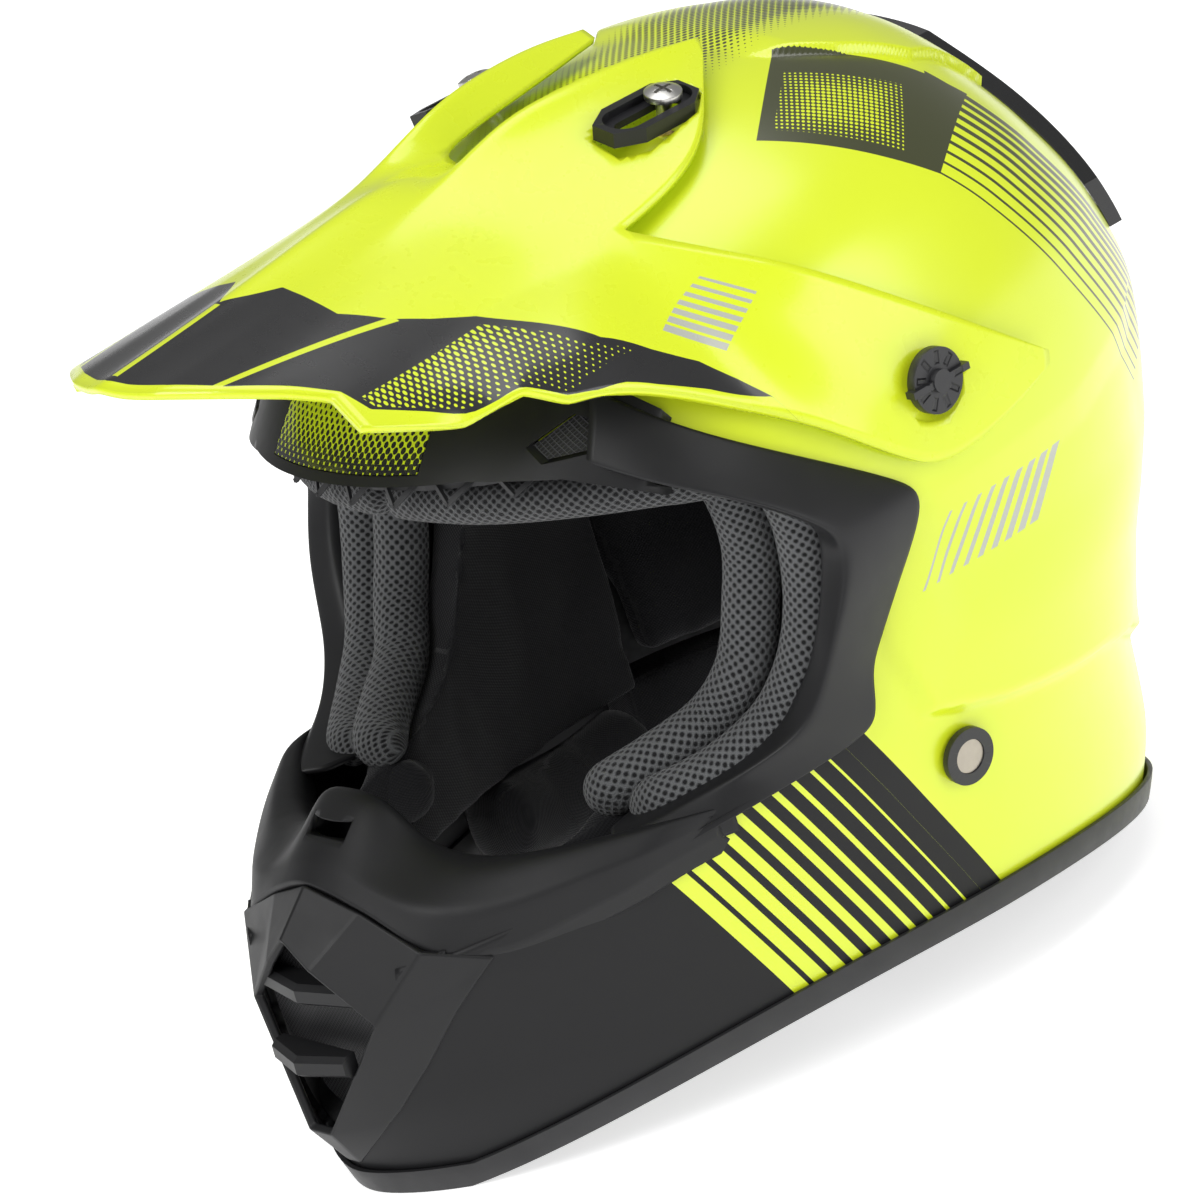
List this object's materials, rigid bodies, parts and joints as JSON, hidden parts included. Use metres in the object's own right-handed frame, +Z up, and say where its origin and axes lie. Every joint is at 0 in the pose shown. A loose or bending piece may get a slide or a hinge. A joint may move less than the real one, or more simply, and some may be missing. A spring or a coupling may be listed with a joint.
{
  "type": "motocross helmet",
  "caption": "Full-face off-road helmet with a long tilting visor peak, open eyeport, vented chin bar, foam liners, cheek pads and a double D-ring chin strap.",
  "frame": {"origin": "on the ground, under the middle of the helmet as it stands on its rim", "axes": "+Z up, -Y towards the face opening, +X towards the wearer's left side"},
  "size_m": [0.2574, 0.3699, 0.3],
  "materials": {
    "shell_gloss": "hi-vis yellow clear-coated shell, matt black round the chin, black and grey graphics",
    "surround_matt": "matt black grained moulding",
    "brow_gloss": "hi-vis yellow with a black dot pattern",
    "metal_mesh": "black expanded mesh",
    "black_rubber": "matt soft rubber",
    "black_plastic": "matt grained plastic",
    "trim_rubber": "satin edge rubber",
    "spoiler_gloss": "black gloss moulding",
    "eps_foam": "black moulded bead foam",
    "steel": "plated steel",
    "crown_mesh_fabric": "grey spacer mesh",
    "band_mesh_fabric": "grey spacer mesh",
    "pad_mesh_fabric": "grey spacer mesh over foam",
    "neck_fabric": "black knitted fabric over foam",
    "pad_foam": "dark foam block",
    "pad_backing": "thin moulded backing",
    "visor_satin": "hi-vis yellow peak with a satin black band behind its lip",
    "brass_insert": "knurled threaded insert",
    "webbing": "woven black webbing",
    "strap_snap": "red press stud",
    "bezel_gloss": "black gloss bezel",
    "screw_plastic": "dark moulded screw",
    "knob_plastic": "satin thumb knob",
    "snap_metal": "dark plated ring",
    "snap_cap": "black domed cap"
  },
  "bodies": {
    "helmet": {"brow_gasket": "black_rubber", "brow_panel": "brow_gloss", "brow_vent_mesh": "metal_mesh", "cheek_block_left": "pad_foam", "cheek_block_right": "pad_foam", "cheek_pad_left": "pad_mesh_fabric", "cheek_pad_right": "pad_mesh_fabric", "cheek_plate_left": "pad_backing", "cheek_plate_right": "pad_backing", "cheek_snap_studs": "steel", "crown_pad": "crown_mesh_fabric", "edge_trim": "trim_rubber", "eps_chin_liner": "eps_foam", "eps_crown_liner": "eps_foam", "eyeport_surround": "surround_matt", "forehead_band": "band_mesh_fabric", "mouth_vent_bars": "black_plastic", "mouth_vent_cover": "surround_matt", "mouth_vent_mesh": "metal_mesh", "neck_roll": "neck_fabric", "nose_guard": "black_rubber", "outer_shell": "shell_gloss", "pivot_inserts": "brass_insert", "rear_spoiler": "spoiler_gloss", "rear_vent_mesh": "metal_mesh", "snap_disc_left": "snap_cap", "snap_disc_right": "snap_cap", "snap_ring_left": "snap_metal", "snap_ring_right": "snap_metal", "strap_hangers": "steel", "top_inserts": "brass_insert"},
    "visor": {"visor_peak": "visor_satin", "top_bezel_left": "bezel_gloss", "top_bezel_right": "bezel_gloss"},
    "side_knob_left": {"side_knob_left": "knob_plastic"},
    "top_screw_left": {"top_screw_left": "screw_plastic"},
    "side_knob_right": {"side_knob_right": "knob_plastic"},
    "top_screw_right": {"top_screw_right": "screw_plastic"},
    "chin_strap": {"strap_short": "webbing", "strap_ring_loop": "webbing", "strap_long": "webbing", "strap_keeper": "strap_snap", "strap_eyelets": "steel", "d_ring_upper": "steel", "d_ring_lower": "steel"}
  },
  "joints": [
    {"name": "visor_tilt", "type": "hinge", "parent": "helmet", "child": "visor", "pos_m": [0, 0.0215, 0.201], "axis": [-1, 0, 0], "range_deg": [0, 6]},
    {"name": "side_knob_left_turn", "type": "hinge", "parent": "helmet", "child": "side_knob_left", "pos_m": [0.12, 0.0215, 0.201], "axis": [1, 0, 0], "continuous": true},
    {"name": "top_screw_left_turn", "type": "hinge", "parent": "helmet", "child": "top_screw_left", "pos_m": [0.044, 0.015, 0.2928], "axis": [0.2588, 0, 0.9659], "continuous": true},
    {"name": "side_knob_right_turn", "type": "hinge", "parent": "helmet", "child": "side_knob_right", "pos_m": [-0.12, 0.0215, 0.201], "axis": [-1, 0, 0], "continuous": true},
    {"name": "top_screw_right_turn", "type": "hinge", "parent": "helmet", "child": "top_screw_right", "pos_m": [-0.044, 0.015, 0.2928], "axis": [-0.2588, 0, 0.9659], "continuous": true},
    {"name": "strap_swing", "type": "hinge", "parent": "helmet", "child": "chin_strap", "pos_m": [0, -0.014, 0.043], "axis": [1, 0, 0], "range_deg": [-25, 25]}
  ]
}
